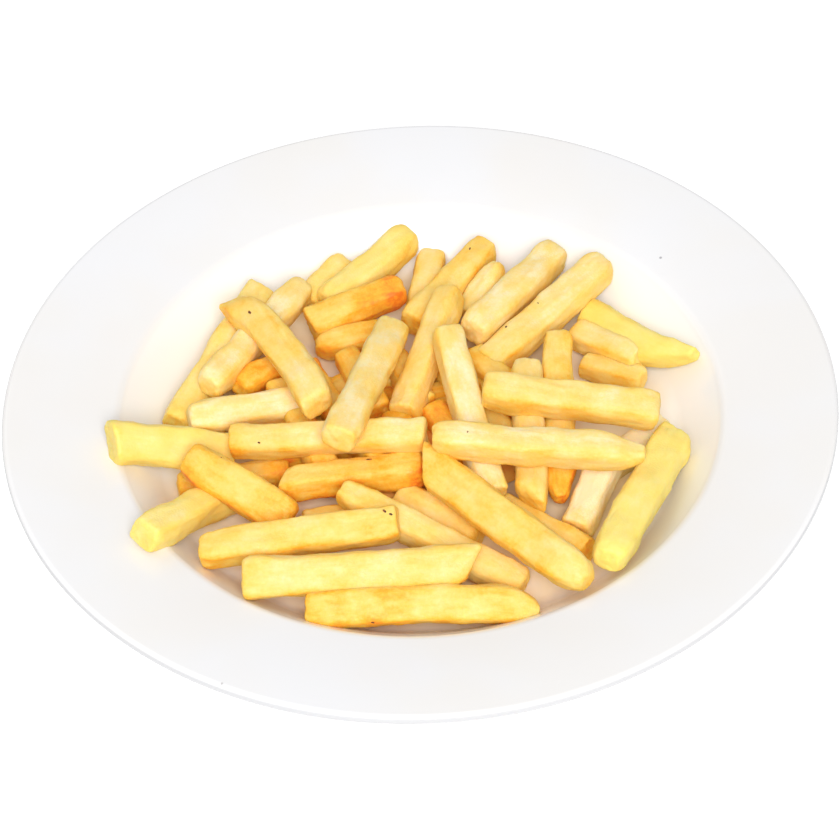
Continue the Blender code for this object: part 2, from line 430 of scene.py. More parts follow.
@dataclass(frozen=True)
class FriedPotato:
    """Fried potato: pale floury faces, golden corners, browned tips and fine wrinkles.

    frying pairs how far a point is fried with its colour, from cream over
    straw, golden and amber to brown; how far a point is fried also holds the
    painted shade given to the fries' sides and undersides.  Blotches, streaks
    and mottle each have a size in millimetres and the span that they add to the
    frying.
    """

    name: str = "fried_potato"
    frying: tuple[tuple[float, Colour], ...] = (
        (0.0, srgb(253, 233, 190)),
        (0.25, srgb(253, 220, 144)),
        (0.45, srgb(253, 212, 116)),
        (0.62, srgb(252, 202, 90)),
        (0.76, srgb(251, 185, 56)),
        (0.9, srgb(248, 163, 46)),
        (1.0, srgb(235, 130, 38)),
    )
    lemon: Colour = srgb(254, 231, 120)
    lemon_share: float = 0.75
    blotch_size: float = 11.0
    blotches: Span = (-0.11, 0.13)
    streak_size: float = 3.0
    streak_squeeze: float = 0.3
    streaks: Span = (-0.07, 0.07)
    mottle_size: float = 1.6
    mottle: Span = (-0.05, 0.05)
    arrises: Span = (0.05, 0.16)
    oil_size: float = 4.0
    roughness: Span = (0.62, 0.4)
    wrinkle_depth: float = 0.6
    pore_size: float = 0.7
    pore_depth: float = 0.22
    glow_share: float = 0.6
    glow_radius: Colour = (1.0, 0.7, 0.4)
    glow_depth: float = 2.5

    def material(self) -> Material:
        """Lay out the fried skin.

        Returns:
            The skin as a material.
        """
        sheet = NodeSheet(self.name)
        where = sheet.place()
        skin = sheet.node("ShaderNodeSeparateXYZ", in_Vector=sheet.attribute(SKIN))
        # The first channel is how far the point is fried, with the painted shade of the sides and
        # undersides in it.
        tone, lemon, arris = skin.outputs["X"], skin.outputs["Y"], skin.outputs["Z"]
        along = sheet.node("ShaderNodeMapping", in_Vector=sheet.attribute(GRAIN),
                           in_Scale=(self.streak_squeeze, 1.0, 1.0)).outputs["Vector"]
        streaks = sheet.noise(along, self.streak_size, detail=3.0)
        for noise, span in ((sheet.noise(where, self.blotch_size), self.blotches),
                            (streaks, self.streaks),
                            (sheet.noise(where, self.mottle_size, rough=0.6), self.mottle)):
            tone = sheet.math("ADD", tone, sheet.spread(noise, NOISE, span))
        edge = sheet.math("MULTIPLY", arris, sheet.spread(streaks, (0.25, 0.75), self.arrises))
        colour = sheet.ramp(sheet.math("ADD", tone, edge), self.frying)
        colour = sheet.mix(sheet.math("MULTIPLY", lemon, self.lemon_share), colour, self.lemon)
        oil = sheet.spread(sheet.noise(where, self.oil_size), (0.35, 0.7), self.roughness)
        wrinkles = sheet.bump(streaks, self.wrinkle_depth, 0.8)
        pores = sheet.bump(sheet.noise(where, self.pore_size), self.pore_depth, 0.7, under=wrinkles)
        return sheet.finish(Base_Color=colour, Roughness=oil, Normal=pores,
                            Subsurface_Weight=self.glow_share, Subsurface_Radius=self.glow_radius,
                            Subsurface_Scale=self.glow_depth * MM, Specular_IOR_Level=0.35)


@dataclass(frozen=True)
class PatchyPotato:
    """Potato in soft patches of two colours, its sizes and depths in millimetres."""

    name: str
    first: Colour
    second: Colour
    patch_size: float
    patch_detail: float
    patch_band: Span
    roughness: float
    grain_size: float
    grain_depth: float

    def material(self) -> Material:
        """Lay out the patchy potato.

        Returns:
            The potato as a material.
        """
        sheet = NodeSheet(self.name)
        where = sheet.place()
        noise = sheet.noise(where, self.patch_size, detail=self.patch_detail)
        colour = sheet.mix(sheet.spread(noise, self.patch_band), self.first, self.second)
        grain = sheet.bump(sheet.noise(where, self.grain_size), self.grain_depth)
        return sheet.finish(Base_Color=colour, Roughness=self.roughness, Normal=grain)


# The heap's hidden core, a darker golden mass, and the nearly black burnt specks.
SHADED_POTATO = PatchyPotato("shaded_potato", srgb(250, 178, 72), srgb(234, 142, 46), patch_size=9.0,
                             patch_detail=3.0, patch_band=(0.35, 0.65), roughness=0.6,
                             grain_size=2.0, grain_depth=0.4)
BURNT_POTATO = PatchyPotato("burnt_crumb", srgb(84, 48, 26), srgb(166, 92, 36), patch_size=0.8,
                            patch_detail=2.0, patch_band=(0.4, 0.7), roughness=0.7,
                            grain_size=0.5, grain_depth=0.1)


@dataclass(frozen=True)
class StudioWhite:
    """The floor of the studio, plain and pale."""

    name: str = "studio_white"
    white: Colour = (0.86, 0.86, 0.86)
    glow: float = 0.25

    def material(self) -> Material:
        """Return the floor's finish as a material."""
        return NodeSheet(self.name).finish(Base_Color=self.white, Roughness=0.9,
                                           Emission_Color=(1.0, 1.0, 1.0),
                                           Emission_Strength=self.glow)


@dataclass
class Plate:
    """The white plate: a deep well, a wide rising rim and a foot ring, millimetres.

    The lip is lip_squareness times as thick as its roundings are wide, and
    steps is how many flat faces go round the plate.
    """

    radius: float
    rim_height: float
    lip_thickness: float = 4.0
    lip_squareness: float = 2.2
    well_radius: float = 109.5
    well_edge_height: float = 28.3
    well_edge_rounding: float = 6.0
    floor_radius: float = 92.0
    floor_height: float = 10.0
    floor_dish: float = 0.5
    floor_rounding: float = 14.0
    floor_thickness: float = 6.0
    wall_thickness: float = 4.6
    underside_offset: float = 2.0
    under_edge_rounding: float = 9.0
    under_floor_rise: float = 1.0
    foot_outer_radius: float = 76.0
    foot_outer_flare: float = 1.0
    foot_outer_step: float = 0.5
    foot_inner_radius: float = 68.0
    foot_inner_taper: float = 1.5
    foot_rounding: float = 1.2
    steps: int = 256
    merge_distance: float = 0.01
    smooth_angle: float = 50.0

    def corners(self) -> list[tuple[float, float, float, int]]:
        """Return the profile's corners, from the axis over the rim and back below.

        Returns:
            Rows of radius, height, rounding and the points in the rounding's arc.
        """
        lip = self.lip_thickness / self.lip_squareness
        foot = self.foot_rounding
        under_floor = self.floor_height - self.floor_thickness
        under_edge = self.well_edge_height - self.wall_thickness
        return [
            (0.0, self.floor_height - self.floor_dish, 0.0, 1),
            (self.floor_radius, self.floor_height, self.floor_rounding, 14),
            (self.well_radius, self.well_edge_height, self.well_edge_rounding, 12),
            (self.radius, self.rim_height, lip, 7),
            (self.radius, self.rim_height - self.lip_thickness, lip, 7),
            (self.well_radius + self.underside_offset, under_edge, self.under_edge_rounding, 8),
            (self.floor_radius + self.underside_offset, under_floor + self.under_floor_rise,
             self.floor_rounding, 8),
            (self.foot_outer_radius + self.foot_outer_flare, under_floor + self.foot_outer_step,
             foot, 4),
            (self.foot_outer_radius, 0.0, foot, 4),
            (self.foot_inner_radius, 0.0, foot, 4),
            (self.foot_inner_radius - self.foot_inner_taper, under_floor, foot, 4),
            (0.0, under_floor, 0.0, 1),
        ]

    def arc(self, before: Vector, corner: Vector, after: Vector, rounding: float,
            count: int) -> list[Vector]:
        """Return the arc that rounds a corner of the profile.

        Args:
            before: The corner before it.
            corner: The corner to round.
            after: The corner after it.
            rounding: The arc's radius.
            count: How many points it has.

        Returns:
            The arc's points, in order.
        """
        to_before = (before - corner).normalized()
        to_after = (after - corner).normalized()
        half_angle = to_before.angle(to_after) / 2
        reach = rounding / math.tan(half_angle)
        centre = corner + (to_before + to_after).normalized() * rounding / math.sin(half_angle)
        first = (corner + to_before * reach - centre).normalized()
        last = (corner + to_after * reach - centre).normalized()
        return [centre + first.slerp(last, step / (count - 1)) * rounding for step in range(count)]

    def profile(self) -> list[Vector]:
        """Round each corner of the profile by an arc.

        Returns:
            The profile's points, in order.
        """
        corners = self.corners()
        places = [Vector(corner[:2]) for corner in corners]
        points = [places[0]]
        for index, (_, _, rounding, count) in enumerate(corners[1:-1], start=1):
            points += self.arc(*places[index - 1:index + 2], rounding, count)
        return [*points, places[-1]]

    def build(self) -> Piece:
        """Turn the profile about the plate's axis.

        Returns:
            The plate's object.
        """
        points = [(point.x * MM, 0.0, point.y * MM) for point in self.profile()]
        deselect_all()
        bpy.ops.mesh.primitive_plane_add(size=MM, location=points[0])
        apply_place()
        bpy.ops.object.mode_set(mode="EDIT")
        bpy.ops.mesh.select_all(action="SELECT")
        bpy.ops.mesh.merge(type="CENTER")
        for before, after in zip(points, points[1:]):
            step = [far - near for far, near in zip(after, before)]
            bpy.ops.mesh.extrude_vertices_move(TRANSFORM_OT_translate={"value": step})
        bpy.ops.mesh.select_all(action="SELECT")
        bpy.ops.mesh.spin(steps=self.steps, angle=math.tau, center=(0, 0, 0), axis=(0, 0, 1))
        bpy.ops.mesh.select_all(action="SELECT")
        bpy.ops.mesh.remove_doubles(threshold=self.merge_distance * MM)
        bpy.ops.mesh.normals_make_consistent(inside=False)
        bpy.ops.object.mode_set(mode="OBJECT")
        plate = bpy.context.object
        plate.name = "serving_plate"
        bpy.ops.object.shade_smooth_by_angle(angle=math.radians(self.smooth_angle))
        return plate

    def dress(self, plate: Piece) -> None:
        """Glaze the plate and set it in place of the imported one."""
        stand_in(plate, WhiteGlaze().material(), PLATE_NODE)


class Kind(Enum):
    """The sorts of fry, each joined into a piece of its own."""

    PALE = "fries_pale"
    LEMON = "fries_lemon"
    GOLDEN = "fries_golden"
    BROWNED = "fries_browned"
    BURIED = "fries_buried"


PALE, LEMON, GOLDEN, BROWNED, BURIED = Kind


@dataclass(frozen=True)
class Tip:
    """How one end of a fry is cut.

    width and height are the shares of the section left at the end, which
    narrows over reach; shift moves the end across and up; slant turns the end
    face about the fry's upright, and brown is the extra browning there.
    """

    width: float = 0.93
    height: float = 0.92
    reach: float = 3.0
    shift: Span = (0.0, 0.0)
    slant: float = 0.0
    brown: float = 0.08

    def share(self, away: float) -> float:
        """Return how much the tip shapes a ring, 1 at the end face and 0 past its reach."""
        return max(0.0, 1.0 - away / self.reach) ** 2


SQUARE = Tip()
ROUNDED = Tip(width=0.7, height=0.72, reach=6.0)
BLUNT = Tip(width=0.82, height=0.82, reach=4.5)
POINTED = Tip(width=0.25, height=0.45, reach=14.0)


@dataclass(frozen=True)
class Fry:
    """One straight-cut fry: its place, section, ends and finish, millimetres.

    start and end are the centres of its two end faces, roll turns it about its
    own length and twist winds it from end to end, bow is how far its middle
    stands out across and up, browned is how far it is fried at its start and
    end, and lemon how yellow it is.
    """

    name: str
    start: Point
    end: Point
    width: float
    height: float
    roll: float
    kind: Kind
    browned: Span = (0.4, 0.4)
    lemon: float = 0.0
    bow: Span = (0.0, 0.0)
    first: Tip = SQUARE
    last: Tip = SQUARE
    twist: float = 0.0

    def place(self) -> Matrix:
        """Work out where a fry that was drawn at the origin along X belongs.

        Returns:
            The fry's place in metres, with its height near +Z.
        """
        start = Vector(self.start)
        end = Vector(self.end)
        along = (end - start).normalized()
        across = Vector((0.0, 0.0, 1.0)).cross(along).normalized()
        upward = along.cross(across)
        turn = Matrix((along, across, upward)).transposed().to_4x4()
        roll = Matrix.Rotation(math.radians(self.roll), 4, "X")
        return Matrix.Translation((start + end) / 2 * MM) @ turn @ roll

    def length(self) -> float:
        """Return the fry's length, millimetres."""
        return (Vector(self.end) - Vector(self.start)).length


FRIES = [
    # Lowest layer, on the floor and the wall of the well.
    Fry("back_left_long", (-58, 72, 21), (-89, 5, 17.5), 12.5, 11.5, -17, PALE, (0.3, 0.35), 0.25),
    Fry("back_short", (-26, 91, 15), (-42, 70, 15), 11.5, 11.5, -21, PALE, (0.3, 0.4), 0.2,
        first=ROUNDED),
    Fry("back_thick", (0, 96, 24), (-33, 65, 18), 12.5, 12.5, -3, LEMON, (0.4, 0.3), 0.45,
        first=ROUNDED),
    Fry("back_middle_low", (8, 93, 17), (2, 64, 15), 11.5, 10.5, -6, PALE, (0.35, 0.45), first=ROUNDED),
    Fry("right_bowed", (66, 55, 16), (100, 17, 26), 13.5, 13.5, 29, LEMON, (0.45, 0.3), 0.75,
        bow=(-2, 0), first=BLUNT, last=Tip(0.22, 0.5, 24.0, (4.0, 0.0))),
    Fry("right_stub", (88, -3, 15), (63, -27, 15), 11.5, 11.5, -17, PALE, (0.0, 0.0)),
    Fry("front_right_outer", (91, -15, 20), (61, -82, 31), 14, 12.5, -8, LEMON, (0.25, 0.2), 0.8,
        first=Tip(0.86, 0.9, 4.0, slant=-14.0, brown=0.2), last=Tip(0.6, 0.66, 9.0)),
    Fry("front_right_inner", (70, -19, 24), (53, -53, 15), 11.5, 11.5, 5, PALE, (-0.1, -0.15),
        last=Tip(brown=0.3)),
    Fry("front_low", (27, -40, 15), (56, -65, 15), 11.5, 11.5, 22, GOLDEN, (0.45, 0.5)),
    Fry("left_low", (-88, -23, 15), (-48, -17, 15), 10, 9, 0, GOLDEN, (0.5, 0.6)),
    Fry("left_front_tip", (-97, -65, 36), (-67, -27, 16), 12, 12, 11, LEMON, (0.2, 0.5), 0.6,
        first=Tip(0.88, 0.88, 4.0)),
    Fry("left_far_tip", (-110, -18, 35), (-69, -10, 18), 15, 13.5, 41, LEMON, (0.28, 0.34), 0.65,
        first=Tip(0.88, 0.88, 4.0, slant=16.0)),
    Fry("deep_left", (-37, 24, 15), (-9, 14, 15), 10, 9, 0, GOLDEN, (0.65, 0.65)),
    Fry("deep_middle", (-8, 1, 15), (22, 14, 17), 10, 10, 0, GOLDEN, (0.55, 0.6)),
    # Middle layer.
    Fry("front_between", (-8, -33, 15), (19, -53, 15), 11.5, 11.5, 23, GOLDEN, (0.4, 0.45)),
    Fry("front_shaded", (-43, -44, 15), (-26, -41, 15), 9, 9, 0, GOLDEN, (0.4, 0.4)),
    Fry("left_level", (-84, 0, 26), (-34, 11, 22), 12, 12, 31, PALE, (0.15, 0.05), first=BLUNT),
    Fry("back_left_second", (-42, 71, 23), (-77, 14, 28), 11.5, 11.5, -15, PALE, (0.25, 0.2),
        first=Tip(0.7, 0.8, 6.0), last=ROUNDED),
    Fry("back_left_third", (-44, 38, 18), (-66, 18, 24), 10.5, 10.5, -15, GOLDEN, (0.65, 0.6),
        last=ROUNDED),
    Fry("middle_burnt", (-50, -32, 23), (0, -28, 24), 11, 11, 0, BROWNED, (0.5, 0.66),
        first=Tip(0.85, 0.85, 5.0, slant=-24.0)),
    Fry("left_slope", (-83, -26, 33), (-47, -48, 21), 14.5, 13, 29, GOLDEN, (0.6, 0.5),
        first=Tip(0.7, 0.75, 7.0, brown=0.15), last=ROUNDED),
    Fry("back_golden_tip", (29, 89, 23), (-1, 49, 21), 12, 12, -8, GOLDEN, (0.48, 0.42), first=BLUNT),
    Fry("back_pale_tip", (33, 74, 28), (21, 56, 17), 11.5, 11.5, 16, PALE, (0.3, 0.2), first=POINTED),
    Fry("middle_upright", (14, 56, 31), (-6, -2, 25), 11, 11, 17, GOLDEN, (0.4, 0.36), first=ROUNDED),
    Fry("middle_crossing", (11, 26, 39), (24, -43, 24), 11.5, 11.5, -4, PALE, (0.2, 0.1),
        first=Tip(0.88, 0.85, 4.0, brown=0.2)),
    Fry("back_right_long", (73, 72, 27), (26, 25, 21), 13, 13, -8, PALE, (0.2, 0.32),
        first=Tip(0.66, 0.7, 7.0)),
    Fry("back_right_inner", (55, 82, 24), (21, 37, 27), 13, 13, -9, PALE, (0.18, 0.2),
        first=Tip(0.74, 0.76, 6.0), last=Tip(0.75, 0.8, 6.0)),
    Fry("right_leg_inner", (40, 15, 31), (38, -47, 24), 11, 10, -1, PALE, (0.15, 0.35), first=BLUNT,
        last=Tip(0.8, 0.7, 6.0, slant=-38.0)),
    Fry("right_leg_outer", (52, 30, 31), (48, -42, 19), 11.5, 10, -1, GOLDEN, (0.45, 0.6),
        first=ROUNDED, last=Tip(0.3, 0.6, 13.0)),
    Fry("right_small_upper", (60, 45, 16), (82, 25, 21), 10.5, 10.5, 10, PALE, (0.35, 0.35), last=BLUNT),
    Fry("right_small_lower", (61, 29, 16), (83, 18, 17), 10, 9, 0, PALE, (0.4, 0.35), last=BLUNT),
    Fry("back_browned", (-4, 65, 25), (-40, 52, 20), 12.5, 12.5, -11, BROWNED, (0.76, 0.5), bow=(0, 1),
        first=Tip(0.6, 0.68, 8.0, brown=0.05)),
    Fry("middle_stub", (-38, 44, 17), (-13, 46, 20), 11, 11, 13, GOLDEN, (0.45, 0.62),
        first=Tip(0.45, 0.6, 8.0)),
    # Top layer.
    Fry("front_diagonal_low", (-29, -42, 29), (33, -78, 15), 11, 11, 8, PALE, (0.4, 0.35),
        first=Tip(0.6, 0.7, 9.0), last=BLUNT),
    Fry("front_first", (-42, -90, 22), (38, -93, 22), 13, 11.5, 39, GOLDEN, (0.53, 0.45), bow=(1.2, 0),
        first=BLUNT, last=Tip(0.4, 0.7, 11.0, (-2.4, 0.0))),
    Fry("front_second", (-63, -81, 29), (16, -78, 28), 14, 12.5, 40, GOLDEN, (0.37, 0.31),
        first=Tip(0.88, 0.9, 3.0), last=Tip(0.84, 0.8, 4.0, slant=-28.0)),
    Fry("front_third", (-78, -64, 26), (-9, -61, 32), 12.5, 12.5, 24, GOLDEN, (0.45, 0.4), twist=22,
        first=Tip(0.7, 0.75, 7.0, (-0.8, 0.0))),
    Fry("front_diagonal", (2, -33, 30), (54, -91, 31), 14.5, 13, 28, GOLDEN, (0.48, 0.36),
        first=Tip(0.95, 0.9, 3.0, slant=45.0), last=Tip(0.45, 0.55, 11.0)),
    Fry("back_left_hooked", (-66, 53, 33), (-36, -9, 39), 13, 11.5, 16, BROWNED, (0.44, 0.3),
        bow=(3, 0), first=Tip(0.7, 0.55, 9.0, (-2.0, 0.0), -24.0, 0.12), last=BLUNT),
    Fry("middle_level", (-68, -15, 29), (2, -20, 33), 11.5, 11.5, 21, GOLDEN, (0.38, 0.24),
        first=Tip(0.86, 0.86, 4.0, brown=0.16)),
    Fry("right_upper_level", (23, -6, 40), (85, -12, 31), 12.5, 12.5, 17, GOLDEN, (0.32, 0.28),
        first=Tip(0.8, 0.8, 5.0), last=Tip(0.88, 0.88, 4.0)),
    Fry("right_lower_level", (4, -29, 40), (78, -38, 36), 12.5, 12.5, 8, PALE, (0.26, 0.22),
        first=Tip(0.55, 0.6, 8.0), last=Tip(0.36, 0.45, 17.0)),
    Fry("middle_top", (-8, 37, 31), (-29, -32, 45), 13, 11.5, -14, PALE, (0.32, 0.25), last=BLUNT),
]


@dataclass(frozen=True)
class Ring:
    """One cross-section of a fry while it is drawn out along X, millimetres and degrees."""

    centre: Vector
    width: float
    height: float
    slant: float = 0.0
    twist: float = 0.0


@dataclass
class FryCutter:
    """Draws a fry out of a small grid, ring by ring, as a bar with soft corners.

    held_rings lie at those distances from both ends and keep them crisp, with
    more rings about ring_gap apart between them.  On the first section, the
    inner columns are moved out to within corner_columns, the corners are drawn
    in by corner_pull and the middles of the sides out by swell.  Each ring's
    size strays by a share of waver and its place by drift.  lumps, wrinkles
    and crumble each have a size and a depth.  Lengths are in millimetres.
    """

    ring_gap: float = 7.0
    held_rings: tuple[float, ...] = (0.0, 1.7, 4.4)
    grid_column: float = 0.25
    grid_edge: float = 0.5
    grid_slack: float = 0.01
    corner_columns: Span = (0.19, 0.27)
    corner_pull: float = 0.9
    swell: float = 1.03
    waver: float = 0.04
    drift: float = 0.35
    slant_reach: float = 11.0
    levels: int = 2
    lumps: Span = (13.0, 1.9)
    wrinkles: Span = (3.4, 0.75)
    wrinkle_stretch: float = 7.0
    crumble: Span = (2.6, 0.5)
    arris_share: float = 0.62
    brown_past_tip: float = 5.0
    # Painted shade: the most browning added on faces that look aside and down; it grows from nothing
    # where the normal's upward part is top_facing to all of it at under_facing.
    underside_painted_shade: float = 0.22
    top_facing: float = 0.9
    under_facing: float = -0.5
    guide: Piece = field(init=False)

    def __post_init__(self) -> None:
        """Add the empty along which the wrinkles are stretched."""
        self.guide = bpy.data.objects.new("wrinkle_guide", None)
        bpy.context.scene.collection.objects.link(self.guide)

    def stations(self, length: float) -> list[float]:
        """Return how far along the fry each ring lies.

        Args:
            length: The fry's length.

        Returns:
            The rings' distances from its start.
        """
        held = self.held_rings
        inner = length - 2 * held[-1]
        count = max(2, round(inner / self.ring_gap))
        middle = [held[-1] + inner * step / count for step in range(1, count)]
        return [*held, *middle, *[length - reach for reach in reversed(held)]]

    def ring(self, fry: Fry, station: float, dice: random.Random) -> Ring:
        """Return the fry's cross-section at a station along it.

        Args:
            fry: The fry that is drawn.
            station: The distance from its start, millimetres.
            dice: The fry's own random numbers.

        Returns:
            The ring.
        """
        length = fry.length()
        place = 2 * station / length - 1
        bulge = 1 - place * place
        centre = Vector((station - length / 2, fry.bow[0] * bulge, fry.bow[1] * bulge))
        width = fry.width * (1 + dice.uniform(-self.waver, self.waver))
        height = fry.height * (1 + dice.uniform(-self.waver, self.waver))
        centre.y += dice.uniform(-self.drift, self.drift)
        centre.z += dice.uniform(-self.drift, self.drift)
        slant = 0.0
        for tip, away in ((fry.first, station), (fry.last, length - station)):
            share = tip.share(away)
            width *= 1 - (1 - tip.width) * share
            height *= 1 - (1 - tip.height) * share
            centre.y += tip.shift[0] * share
            centre.z += tip.shift[1] * share
            slant += tip.slant * max(0.0, 1 - away / self.slant_reach)
        return Ring(centre, width, height, slant, fry.twist * place / 2)

    def turn(self, angle: float, axis: str, centre: Vector) -> None:
        """Turn what is selected; with no window the operator turns the other way.

        Args:
            angle: The turn, degrees.
            axis: The axis that it turns about.
            centre: The point that stays in place, millimetres.
        """
        if angle:
            bpy.ops.transform.rotate(value=-math.radians(angle), orient_axis=axis,
                                     center_override=centre * MM)

    def shape_ring(self, before: Ring, ring: Ring) -> None:
        """Bring the selected ring from the last ring's shape to its own.

        Args:
            before: The ring whose shape it has.
            ring: The ring that it becomes.
        """
        at = ring.centre
        self.turn(-before.slant, "Z", at)
        self.turn(ring.twist - before.twist, "X", at)
        loosen = math.cos(math.radians(before.slant))
        tighten = math.cos(math.radians(ring.slant))
        across = ring.width / before.width * loosen / tighten
        bpy.ops.transform.resize(value=(1.0, across, ring.height / before.height),
                                 center_override=at * MM)
        self.turn(ring.slant, "Z", at)

    def section(self, first: Ring, corner_column: float) -> Piece:
        """Add the grid that is the fry's first cross-section.

        Args:
            first: The section's place and size.
            corner_column: How far out the columns that hold the corners lie, up to 0.5.

        Returns:
            The cross-section's object.
        """
        deselect_all()
        bpy.ops.mesh.primitive_grid_add(x_subdivisions=4, y_subdivisions=4, size=1.0,
                                        rotation=(0.0, math.pi / 2, 0.0))
        apply_place()
        blank = bpy.context.object
        outward = corner_column / self.grid_column
        for vertex in blank.data.vertices:
            across, upward = abs(vertex.co.y), abs(vertex.co.z)
            if abs(across - self.grid_column) < self.grid_slack:
                vertex.co.y *= outward
            if abs(upward - self.grid_column) < self.grid_slack:
                vertex.co.z *= outward
            if min(across, upward) > self.grid_edge - self.grid_slack:
                vertex.co *= self.corner_pull
            if across < self.grid_slack:
                vertex.co.z *= self.swell
            if upward < self.grid_slack:
                vertex.co.y *= self.swell
        blank.scale = (1.0, first.width * MM, first.height * MM)
        blank.location = first.centre * MM
        apply_place()
        return blank

    def draw(self, fry: Fry) -> Piece:
        """Draw the fry out along X, from its first ring to its last.

        Args:
            fry: The fry to draw.

        Returns:
            The fry's cage, still lying along X at the origin.
        """
        dice = random.Random(fry.name)
        rings = [self.ring(fry, station, dice) for station in self.stations(fry.length())]
        straight = Ring(rings[0].centre, rings[0].width, rings[0].height)
        cage = self.section(straight, dice.uniform(*self.corner_columns))
        bpy.ops.object.mode_set(mode="EDIT")
        bpy.ops.mesh.select_all(action="SELECT")
        self.shape_ring(straight, rings[0])
        for before, ring in zip(rings, rings[1:]):
            step = (ring.centre - before.centre) * MM
            bpy.ops.mesh.extrude_region_move(TRANSFORM_OT_translate={"value": step})
            self.shape_ring(before, ring)
        bpy.ops.mesh.select_all(action="SELECT")
        bpy.ops.mesh.normals_make_consistent(inside=False)
        bpy.ops.object.mode_set(mode="OBJECT")
        cage.name = fry.name
        return cage

    def mark(self, fry: Fry, cage: Piece) -> None:
        """Store where each point lies on the fry, and how far it is fried there.

        Args:
            fry: The fry that was drawn.
            cage: Its cage, still lying along X at the origin.
        """
        mesh = cage.data
        skin = mesh.attributes.new(SKIN, "FLOAT_VECTOR", "POINT")
        grain = mesh.attributes.new(GRAIN, "FLOAT_VECTOR", "POINT")
        dice = random.Random(fry.name + " grain")
        offset = Vector([dice.uniform(0.0, 1.0) for _ in range(3)])
        length = fry.length()
        for index, vertex in enumerate(mesh.vertices):
            station = vertex.co.x / MM + length / 2
            share = min(1.0, max(0.0, station / length))
            browned = fry.browned[0] + (fry.browned[1] - fry.browned[0]) * share
            for tip, away in ((fry.first, station), (fry.last, length - station)):
                browned += tip.brown * max(0.0, 1 - away / (tip.reach + self.brown_past_tip))
            across = abs(vertex.co.y) / (fry.width * MM / 2)
            upward = abs(vertex.co.z) / (fry.height * MM / 2)
            arris = 1.0 if min(across, upward) > self.arris_share else 0.0
            skin.data[index].vector = (browned, fry.lemon, arris)
            grain.data[index].vector = vertex.co + offset

    def finish(self, fry: Fry, cage: Piece) -> Piece:
        """Lay the fry in its place, round it, roughen its faces and paint shade on
        its sides and underside.

        Args:
            fry: The fry that was drawn.
            cage: Its cage, still lying along X at the origin.

        Returns:
            The finished fry.
        """
        self.mark(fry, cage)
        cage.matrix_world = fry.place()
        self.guide.matrix_world = fry.place() @ Matrix.Diagonal((self.wrinkle_stretch, 1.0, 1.0, 1.0))
        make_active(cage)
        apply_place()
        add_subdivision(cage, self.levels)
        add_relief(cage, "potato_lumps", *self.lumps)
        add_relief(cage, "potato_wrinkles", *self.wrinkles, guide=self.guide)
        add_relief(cage, "potato_crumble", *self.crumble)
        bpy.context.view_layer.update()
        apply_modifiers(cage)
        bpy.ops.object.shade_smooth()
        self.paint_underside_shade(cage)
        return cage

    def paint_underside_shade(self, piece: Piece) -> None:
        """Paint shade on the faces that look aside and down, as browning added over the top's.

        Args:
            piece: The fry, in its place.
        """
        skin = piece.data.attributes[SKIN].data
        for index, vertex in enumerate(piece.data.vertices):
            shade_share = (self.top_facing - vertex.normal.z) / (self.top_facing - self.under_facing)
            # Painted shade, added to how far the point is fried.
            skin[index].vector.x += self.underside_painted_shade * min(1.0, max(0.0, shade_share))

    def put_away(self) -> None:
        """Remove the guide once every fry is made."""
        bpy.data.objects.remove(self.guide)


@dataclass
class BuriedLayers:
    """Crossed layers of fries deep in the heap, seen only through its gaps.

    layers pairs each layer's height with its direction; tilt and roll are how
    far a fry may turn either way from its row's direction and about itself.
    All are in millimetres and degrees.
    """

    centre: Span = (-4.0, 4.0)
    half_width: float = 58.0
    half_depth: float = 34.0
    layers: tuple[Span, ...] = ((15.5, 14.0), (21.5, 118.0))
    pitch: float = 15.0
    longest: float = 62.0
    thickness: float = 10.5
    gap: float = 3.0
    tilt: float = 9.0
    roll: float = 12.0
    lift: Span = (-1.5, 1.0)
    browned: Span = (0.5, 0.68)
    end_browning: float = 0.05

    def chord(self, aside: float, angle: float) -> Span:
        """Return the middle and the half length of a chord of the heap's oval.

        Args:
            aside: How far the chord lies from the oval's centre.
            angle: The chord's direction, radians from +X.

        Returns:
            The chord's middle, measured along it, and half its length.
        """
        along = Vector((math.cos(angle) / self.half_width, math.sin(angle) / self.half_depth))
        across = Vector((-math.sin(angle) / self.half_width, math.cos(angle) / self.half_depth))
        square = along.dot(along)
        cross = along.dot(across) * aside
        rest = across.dot(across) * aside * aside - 1
        root = max(0.0, cross * cross - square * rest)
        return -cross / square, math.sqrt(root) / square

    def row(self, height: float, angle: float, aside: float, dice: random.Random) -> list[Fry]:
        """Return the fries of one row.

        Args:
            height: The row's height above the table.
            angle: The row's direction, radians from +X.
            aside: How far the row lies from the heap's middle.
            dice: The layers' random numbers.

        Returns:
            One fry or two in line, or none where the row is too short.
        """
        centre_along, half = self.chord(aside, angle)
        if half < self.thickness:
            return []
        count = math.ceil(2 * half / self.longest)
        length = 2 * half / count
        made = []
        for index in range(count):
            turn = angle + math.radians(dice.uniform(-self.tilt, self.tilt))
            along = Vector((math.cos(turn), math.sin(turn), 0.0))
            middle = centre_along - half + length * (index + 0.5)
            centre = Vector((self.centre[0] + middle * math.cos(angle) - aside * math.sin(angle),
                             self.centre[1] + middle * math.sin(angle) + aside * math.cos(angle),
                             height + dice.uniform(*self.lift)))
            reach = along * (length - self.gap) / 2
            browned = dice.uniform(*self.browned)
            made.append(Fry(f"buried_{height:.0f}_{aside:.0f}_{index}", tuple(centre - reach),
                            tuple(centre + reach), self.thickness, self.thickness,
                            dice.uniform(-self.roll, self.roll), BURIED,
                            (browned, browned + self.end_browning)))
        return made

    def fries(self) -> list[Fry]:
        """Lay out both layers.

        Returns:
            Every buried fry.
        """
        dice = random.Random("buried fries")
        rows = math.ceil(self.half_width / self.pitch)
        made = []
        for height, degrees in self.layers:
            for step in range(-rows, rows + 1):
                aside = (step + 0.5) * self.pitch
                made += self.row(height, math.radians(degrees), aside, dice)
        return made


